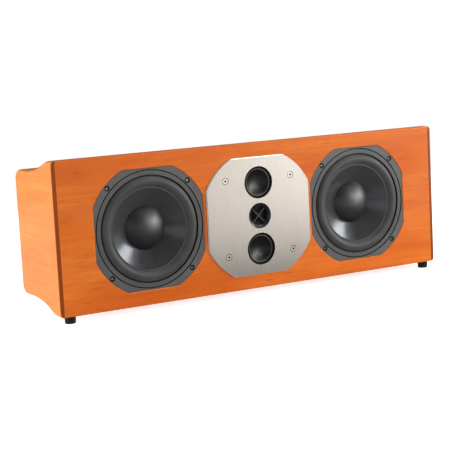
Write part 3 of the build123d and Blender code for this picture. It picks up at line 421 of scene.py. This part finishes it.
def winding(name, dark, light, pitch_mm=0.5):
    """Enamelled wire, wound in layers along Y and Z."""
    look = Look(name, Metallic=1.0)
    axes = look.axes(look.place)
    layers = look.math("ADD", axes["Y"], axes["Z"])
    turn = 2000 * math.pi / pitch_mm
    wire = look.span(look.math("SINE", look.math("MULTIPLY", layers, turn)), -1, 1)
    look.colour(look.mix(wire, dark, light))
    look.roughness(look.span(wire, 0, 1, 0.3, 0.42))
    look.bump(wire, pitch_mm / 6, 0.6)
    return look.material


def dress(material, *names):
    """Give CAD nodes a material."""
    for name in names:
        for slot in NODES[name].material_slots:
            slot.material = material


def both(*names):
    """Names of the left and the right woofer's pieces."""
    return [f"{side}_woofer_{name}" for side in ("left", "right") for name in names]


veneer_wide = veneer(
    "veneer_wide", "X", tone(202, 92, 19), tone(224, 119, 38), contrast=0.45, flecks=0.95
)
veneer_side = veneer(
    "veneer_side", "Y", tone(214, 118, 32), tone(229, 138, 48), contrast=0.4, flecks=0.4, end_grain="Y"
)
# The roll's outer lip is painted black as shade in the gap by the trim ring
surround_rubber = rubber(
    "surround_rubber", tone(60, 60, 59), tone(69, 69, 68), lip_radius=WOOFER_ROLL_EDGES[0] / 1000,
    Specular_IOR_Level=0.22, Sheen_Weight=0.05,
)
mid_rubber = rubber("mid_rubber", grey(8), grey(14), Specular_IOR_Level=0.2)
foot_rubber = rubber(
    "foot_rubber", tone(13, 12, 12), tone(21, 20, 19), grain_mm=1.2, Specular_IOR_Level=0.15
)
spider_cloth = woven("spider_cloth", tone(150, 112, 52), tone(206, 168, 96), pitch_mm=0.8)
dome_cloth = woven("dome_cloth", grey(6), tone(16, 16, 17), pitch_mm=0.35)
copper_wire = winding("copper_wire", tone(122, 52, 20), tone(214, 122, 66))

# The basket is painted black as shade behind its face
basket_paint = cast_metal(
    "basket_paint", tone(78, 77, 76), tone(88, 87, 86), tone(120, 119, 118), shade_behind=-1.5
)
# The trim ring's walls are painted black as shade in the grooves beside it
trim_paint = cast_metal(
    "trim_paint", tone(70, 71, 70), tone(80, 81, 80), tone(92, 93, 92), shade_walls=True
)
ferrite = cast_metal(
    "ferrite", tone(38, 37, 37), tone(54, 53, 52), tone(84, 82, 80), roughness=(0.5, 0.7), grain_mm=1.5
)

steel = bare_metal("zinc_steel", tone(132, 134, 136), tone(186, 188, 190))
gold = bare_metal("gold_plate", tone(196, 148, 62), tone(240, 202, 116), roughness=(0.14, 0.24))
# The heads are black and the floors of their sockets are painted pale as a highlight
black_steel = bare_metal(
    "black_steel", tone(30, 29, 28), tone(42, 41, 40), roughness=(0.3, 0.4),
    socket=(-1.4, tone(190, 187, 183)),
)
# The sockets of the plate screws are painted black as shade
stainless = bare_metal(
    "stainless", tone(172, 168, 162), tone(206, 203, 198), roughness=(0.18, 0.3),
    socket=(2.9, tone(12, 11, 10)),
)

cap_plastic = moulded(
    "cap_plastic", tone(8, 8, 7), tone(12, 12, 11), roughness=(0.42, 0.47), grain_mm=0.4,
    Specular_IOR_Level=0.85,
)
black_plastic = moulded("black_plastic", tone(14, 13, 12), tone(22, 21, 20), Specular_IOR_Level=0.2)
flare_plastic = moulded(
    "flare_plastic", tone(12, 12, 13), tone(18, 18, 20), roughness=(0.26, 0.34), Specular_IOR_Level=0.4
)
guard_paint = moulded(
    "guard_paint", tone(30, 31, 33), tone(44, 45, 47), roughness=(0.22, 0.32), Specular_IOR_Level=0.4
)
red_plastic = moulded("red_knob_plastic", tone(150, 12, 14), tone(178, 22, 20), Coat_Weight=0.2)
black_knob_plastic = moulded("black_knob_plastic", grey(18), grey(28), Coat_Weight=0.2)
capacitor_film = moulded(
    "capacitor_film", tone(188, 142, 30), tone(216, 174, 58), roughness=(0.2, 0.3)
)
cable_sheath = moulded("cable_sheath", tone(24, 24, 26), tone(38, 38, 40), roughness=(0.4, 0.5))

dress(veneer_wide, "front_baffle", "top_panel", "bottom_panel", "back_panel")
dress(veneer_side, "left_side_panel", "right_side_panel")
dress(fibreboard(), "left_brace", "right_brace", "crossover_board")
dress(foot_rubber, "front_left_foot", "front_right_foot", "rear_left_foot", "rear_right_foot")
dress(steel, "wood_screws", "tweeter_yoke", "mid_yokes", *both("top_plate", "yoke"))
dress(basket_paint, *both("basket"))
dress(trim_paint, *both("trim_ring"))
dress(cone_plastic(), *both("cone"))
dress(cap_plastic, *both("dust_cap"))
dress(copper_wire, "crossover_coils", *both("voice_coil"))
dress(ferrite, "mid_magnets", "tweeter_magnet", *both("magnet"))
dress(black_steel, "woofer_screws")
dress(brushed_plate(), "face_plate")
dress(stainless, "face_plate_screws")
dress(black_plastic, "upper_mid_frame", "lower_mid_frame", "terminal_plate")
dress(mid_dome(), "upper_mid_dome", "lower_mid_dome")
dress(flare_plastic, "tweeter_frame")
dress(guard_paint, "tweeter_guard")
dress(dome_cloth, "tweeter_dome")
dress(gold, "binding_posts", "red_clamp_washer", "black_clamp_washer")
dress(red_plastic, "red_post_knob")
dress(black_knob_plastic, "black_post_knob")
dress(capacitor_film, "crossover_capacitors")
dress(cable_sheath, "internal_wiring")


def arc_through(start, crest, end, count):
    """Points of the circular arc from start over crest to end, as (radius, height)."""
    (ax, ay), (bx, by), (cx, cy) = start, crest, end
    scale = 2 * (ax * (by - cy) + bx * (cy - ay) + cx * (ay - by))
    squares = [x * x + y * y for x, y in (start, crest, end)]
    ox = (squares[0] * (by - cy) + squares[1] * (cy - ay) + squares[2] * (ay - by)) / scale
    oy = (squares[0] * (cx - bx) + squares[1] * (ax - cx) + squares[2] * (bx - ax)) / scale
    radius = math.hypot(ax - ox, ay - oy)
    first = math.atan2(ay - oy, ax - ox)
    last = math.atan2(cy - oy, cx - ox)
    steps = [first + (last - first) * step / count for step in range(count + 1)]
    return [(ox + radius * math.cos(step), oy + radius * math.sin(step)) for step in steps]


def roll_profile(edges, outer, inner, bottom, thickness, height, count):
    """Closed section in mm of a half-roll surround with a flat lip on either side."""
    roll_outer, roll_inner = edges
    top = bottom + thickness
    middle = (roll_outer + roll_inner) / 2
    over = arc_through((roll_outer, top), (middle, top + height), (roll_inner, top), count)
    under = arc_through(
        (roll_inner + thickness, bottom),
        (middle, top + height - thickness),
        (roll_outer - thickness, bottom),
        count,
    )
    return [(outer, top), *over, (inner, top), (inner, bottom), *under, (outer, bottom)]


def wave_profile(edges, outer, inner, bottom, thickness, rise, waves, count):
    """Closed section in mm of a corrugated spider, with count points to each half wave."""
    landing, hub = edges
    wave = (landing - hub) / waves
    sheet = [(outer, 0.0)]
    for step in range(waves * count + 1):
        turn = step / count
        lift = rise * math.sin(math.pi * (turn % 1.0))
        sheet.append((landing - wave * turn, lift if int(turn) % 2 == 0 else -lift))
    sheet.append((inner, 0.0))
    upper = [(radius, bottom + thickness + lift) for radius, lift in sheet]
    lower = [(radius, bottom + lift) for radius, lift in reversed(sheet)]
    return upper + lower


def soft_ring(name, profile_mm, centre, material, segments):
    """Ring of a soft sheet that joins a moving diaphragm to the cabinet.

    The sheet follows the cabinet from the first of its edges outward, and the diaphragm from
    It is built while it lies unrolled, with its radius along X, and is then rolled up round the driver's
    axis.
    """
    section = [(radius / 1000, height / 1000) for radius, height in profile_mm]
    count = len(section)
    points = [(radius, -height, 0.0) for _ in range(segments) for radius, height in section]
    faces = []
    for turn in range(segments):
        here = turn * count
        there = (turn + 1) % segments * count
        for step in range(count):
            after = (step + 1) % count
            faces.append((here + step, here + after, there + after, there + step))
    mesh = bpy.data.meshes.new(name)
    mesh.from_pydata(points, [], faces)
    ring = bpy.data.objects.new(name, mesh)
    bpy.context.scene.collection.objects.link(ring)
    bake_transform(ring)
    for index, vertex in enumerate(mesh.vertices):
        angle = 2 * math.pi * (index // count) / segments
        radius, depth = vertex.co.x, vertex.co.y
        vertex.co = (
            centre[0] + radius * math.cos(angle),
            FRONT_Y + depth,
            centre[1] + radius * math.sin(angle),
        )
    mesh.update()
    mesh.shade_smooth()
    mesh.set_sharp_from_angle(angle=SHARP_ANGLE)
    mesh.materials.append(material)
    return ring


WOOFER_ROLL = roll_profile(
    WOOFER_ROLL_EDGES, outer=102.5, inner=71.3, bottom=-4.8, thickness=0.8, height=6.0, count=24
)
WOOFER_SPIDER = wave_profile(
    WOOFER_SPIDER_EDGES, outer=70.0, inner=25.6, bottom=-45.0, thickness=0.6, rise=1.4, waves=8, count=8
)
MID_ROLL = roll_profile(
    MID_ROLL_EDGES, outer=28.4, inner=24.9, bottom=0.0, thickness=0.5, height=1.3, count=16
)
TWEETER_ROLL = roll_profile(
    TWEETER_ROLL_EDGES, outer=17.6, inner=12.0, bottom=-8.0, thickness=0.4, height=1.1, count=16
)

for side, x in (("left", -WOOFER_X), ("right", WOOFER_X)):
    ring = soft_ring(
        f"{side}_woofer_roll", WOOFER_ROLL, (x, AXIS_Z),
        surround_rubber, segments=180,
    )
    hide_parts(f"{side}_woofer_surround")
    ring = soft_ring(
        f"{side}_woofer_suspension", WOOFER_SPIDER, (x, AXIS_Z),
        spider_cloth, segments=96,
    )
    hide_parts(f"{side}_woofer_spider")

for name, rise in (("upper_mid", MID_SPACING), ("lower_mid", -MID_SPACING)):
    ring = soft_ring(
        f"{name}_roll", MID_ROLL, (0.0, AXIS_Z + rise),
        mid_rubber, segments=120,
    )
    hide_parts(f"{name}_surround")

ring = soft_ring(
    "tweeter_roll", TWEETER_ROLL, (0.0, AXIS_Z),
    mid_rubber, segments=120,
)
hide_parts("tweeter_surround")


def add_camera():
    data = bpy.data.cameras.new("camera")
    data.lens = CAMERA_LENS_MM
    data.sensor_width = CAMERA_SENSOR_MM
    camera = bpy.data.objects.new("camera", data)
    bpy.context.scene.collection.objects.link(camera)
    turn = Matrix((CAMERA_RIGHT, CAMERA_UP, CAMERA_BACKWARD)).transposed()
    camera.matrix_world = Matrix.Translation(CAMERA_PLACE) @ turn.to_4x4()
    bpy.context.scene.camera = camera


def softbox(name, place, size, power, aim=LAMP_AIM, mirrored=True):
    """Lamp of this width and height, in metres. Some aren't mirrored in glossy surfaces."""
    data = bpy.data.lights.new(name, "AREA")
    data.shape = "RECTANGLE"
    data.size, data.size_y = size
    data.energy = power
    lamp = bpy.data.objects.new(name, data)
    lamp.location = place
    lamp.visible_glossy = mirrored
    lamp.rotation_euler = (Vector(aim) - Vector(place)).to_track_quat("-Z", "Y").to_euler()
    bpy.context.scene.collection.objects.link(lamp)


def backdrop_ray(tree):
    """1 for the rays that look at the background: direct, mirrored or through glass."""
    path = tree.nodes.new("ShaderNodeLightPath")
    total = path.outputs["Is Camera Ray"]
    for other in ("Is Glossy Ray", "Is Transmission Ray"):
        node = tree.nodes.new("ShaderNodeMath")
        node.operation = "MAXIMUM"
        tree.links.new(total, node.inputs[0])
        tree.links.new(path.outputs[other], node.inputs[1])
        total = node.outputs[0]
    return total


def white_world(fill):
    """White behind the object, and a softer fill of the same white on it."""
    world = bpy.data.worlds.new("studio")
    world.use_nodes = True
    tree = world.node_tree
    background = tree.nodes["Background"]
    background.inputs["Color"].default_value = WHITE
    level = tree.nodes.new("ShaderNodeMapRange")
    level.inputs["To Min"].default_value = fill
    level.inputs["To Max"].default_value = 1.0
    tree.links.new(backdrop_ray(tree), level.inputs["Value"])
    tree.links.new(level.outputs["Result"], background.inputs["Strength"])
    bpy.context.scene.world = world


def flat_piece(name, corners, material):
    """One flat face with these corners."""
    mesh = bpy.data.meshes.new(name)
    mesh.from_pydata(corners, [], [range(len(corners))])
    mesh.materials.append(material)
    piece = bpy.data.objects.new(name, mesh)
    bpy.context.scene.collection.objects.link(piece)
    return piece


def pale_floor(size, glow):
    """White floor whose own glow is seen but lights nothing, so the shadow stays soft."""
    look = Look("floor_paper", Specular_IOR_Level=0.0, Emission_Color=WHITE)
    speck = look.noise(even(3), detail=2)
    look.colour(look.mix(speck, grey(228), grey(236)))
    look.roughness(look.level(speck, 0.85, 0.95))
    glow_level = look.math("MULTIPLY", backdrop_ray(look.tree), glow)
    look.feed(look.shader.inputs["Emission Strength"], glow_level)
    half = size / 2
    corners = [(-half, -half, 0), (half, -half, 0), (half, half, 0), (-half, half, 0)]
    floor = flat_piece("floor", corners, look.material)


def lying(*corners):
    """Corners of a card on the floor."""
    return [(x, y, CARD_LIFT) for x, y in corners]


def standing(y, left, right, low, high):
    """Corners of an upright card that faces along Y."""
    return [(left, y, low), (right, y, low), (right, y, high), (left, y, high)]


def studio_card(name, corners, level):
    """Grey card that only shows as a reflection, as the dark studio round a white sweep does."""
    look = Look(name, Specular_IOR_Level=0.0)
    speck = look.noise(even(4), detail=2)
    look.colour(look.mix(speck, grey(level), grey(level + CARD_SPECKLE)))
    look.roughness(0.9)
    card = flat_piece(name, corners, look.material)
    card.visible_camera = False
    card.visible_diffuse = False
    card.visible_shadow = False


add_camera()
white_world(fill=0.28)
pale_floor(size=3.2, glow=0.78)

studio_card("near_card", lying((-0.42, -0.42), (1.2, -0.42), (1.2, -0.11), (-0.42, -0.11)), 138)
studio_card("table_card", lying((-0.42, -0.8), (1.2, -0.8), (1.2, -0.42), (-0.42, -0.42)), 222)
studio_card(
    "left_card",
    lying((-1.7, -1.8), (0.2, -1.8), (0.2, -0.8), (-0.42, -0.8), (-0.42, -0.11), (-1.7, -0.11)),
    126,
)
studio_card("rear_card", standing(1.0, left=-0.5, right=1.7, low=0.0, high=1.3), 86)
studio_card("front_card", standing(-2.9, left=-3.5, right=4.5, low=0.75, high=4.5), 92)

softbox("right_softbox", (3.66, -1.0, 1.27), size=(1.1, 1.1), power=35.0)
softbox("front_softbox", (2.12, -2.32, 0.64), size=(0.6, 0.9), power=27.0)
softbox("middle_softbox", (2.8, -1.75, 0.95), size=(0.9, 0.9), power=29.0)
softbox("upper_softbox", (1.15, -2.34, 1.12), size=(0.5, 0.5), power=13.0)
softbox(
    "side_softbox", (-2.6, -0.2, 0.32), size=(0.9, 0.6), power=53.0, aim=(-0.4, 0.0, 0.14), mirrored=False
)
softbox(
    "back_softbox", (-1.0, 2.6, 1.1), size=(1.2, 0.8), power=22.0, aim=(0.0, 0.1, 0.14), mirrored=False
)
softbox("top_softbox", (1.1, -0.5, 2.2), size=(0.8, 0.8), power=15.0, aim=(0.0, -0.1, 0.25))

bpy.context.scene.view_settings.view_transform = "Standard"
